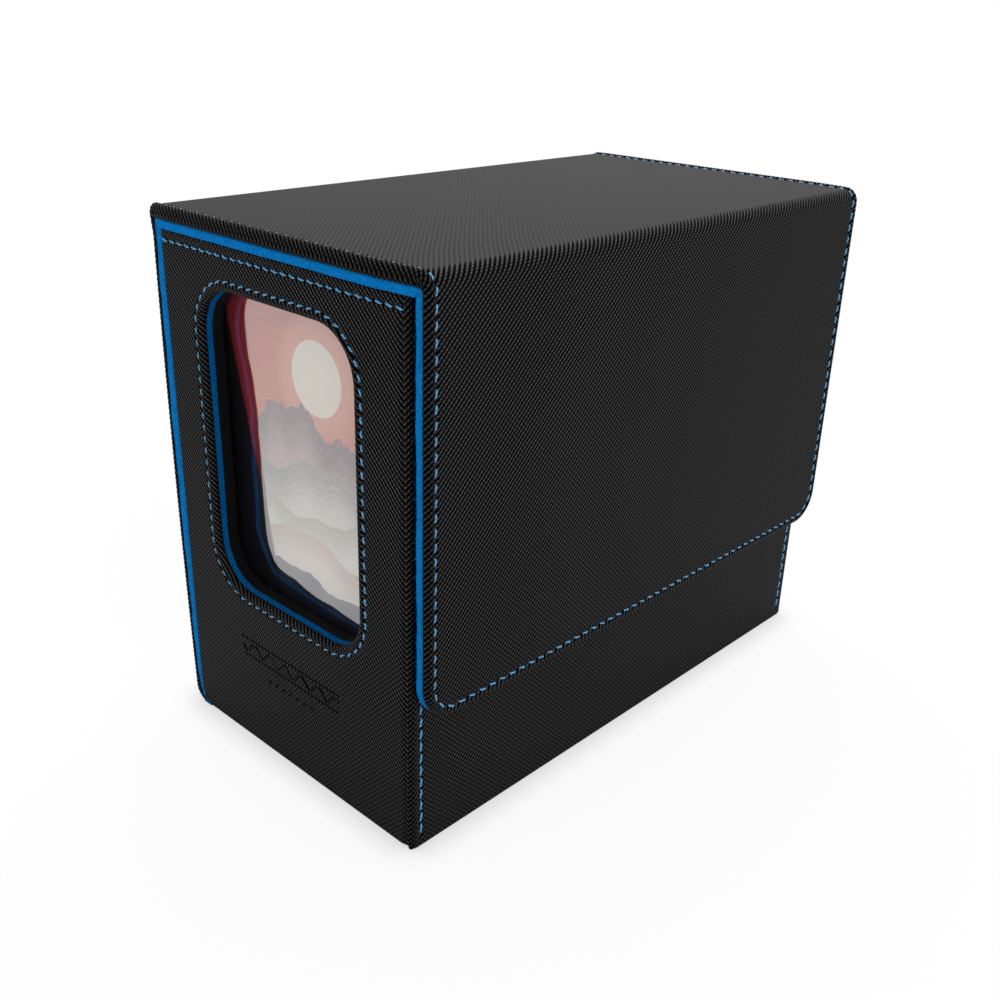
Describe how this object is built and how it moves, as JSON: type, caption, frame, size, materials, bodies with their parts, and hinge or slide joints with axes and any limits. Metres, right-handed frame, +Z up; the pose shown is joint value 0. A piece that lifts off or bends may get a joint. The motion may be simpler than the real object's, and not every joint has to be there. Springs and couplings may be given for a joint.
{
  "type": "trading card storage box",
  "caption": "Padded leatherette flip-lid box for sleeved trading cards, with a lid and front flap on soft folds, a magnetic closure and a windowed end that shows a card.",
  "frame": {"origin": "middle of the footprint, on the surface that the box stands on", "axes": "+X along the box away from the window end, +Y from the flap to the back, +Z up"},
  "size_m": [0.14, 0.0816, 0.1172],
  "materials": {
    "leatherette": "black, embossed with a fine weave",
    "microfibre": "blue nap",
    "greyboard": "raw",
    "clear_sheet": "clear soft sheet",
    "printed_card": "satin print",
    "magnet": "plated"
  },
  "bodies": {
    "box": {"base_skin": "leatherette", "base_board": "greyboard", "base_lining": "microfibre", "front_skin": "leatherette", "front_board": "greyboard", "front_magnets": "magnet", "front_lining": "microfibre", "window_end_skin": "leatherette", "window_end_board": "greyboard", "window_end_lining": "microfibre", "pocket_frame": "leatherette", "window_pane": "clear_sheet", "pocket_welts": "microfibre", "pocket_foot": "microfibre", "display_card": "printed_card", "pocket_back": "microfibre", "plain_end_skin": "leatherette", "plain_end_board": "greyboard", "plain_end_lining": "microfibre", "back_skin": "leatherette", "back_board": "greyboard", "back_lining": "microfibre", "rear_fold_skin": "leatherette", "rear_fold_lining": "microfibre"},
    "lid": {"lid_skin": "leatherette", "lid_board": "greyboard", "lid_lining": "microfibre", "front_fold_skin": "leatherette", "front_fold_lining": "microfibre"},
    "flap": {"flap_skin": "leatherette", "flap_board": "greyboard", "flap_magnets": "magnet", "flap_lining": "microfibre"}
  },
  "joints": [
    {"name": "lid_hinge", "type": "hinge", "parent": "box", "child": "lid", "pos_m": [0, 0.03988, 0.11623], "axis": [-1, 0, 0], "range_deg": [0, 180], "deforming": ["rear_fold_skin", "rear_fold_lining"]},
    {"name": "flap_hinge", "type": "hinge", "parent": "lid", "child": "flap", "pos_m": [0, -0.03988, 0.11623], "axis": [-1, 0, 0], "range_deg": [0, 180], "deforming": ["front_fold_skin", "front_fold_lining"]}
  ]
}
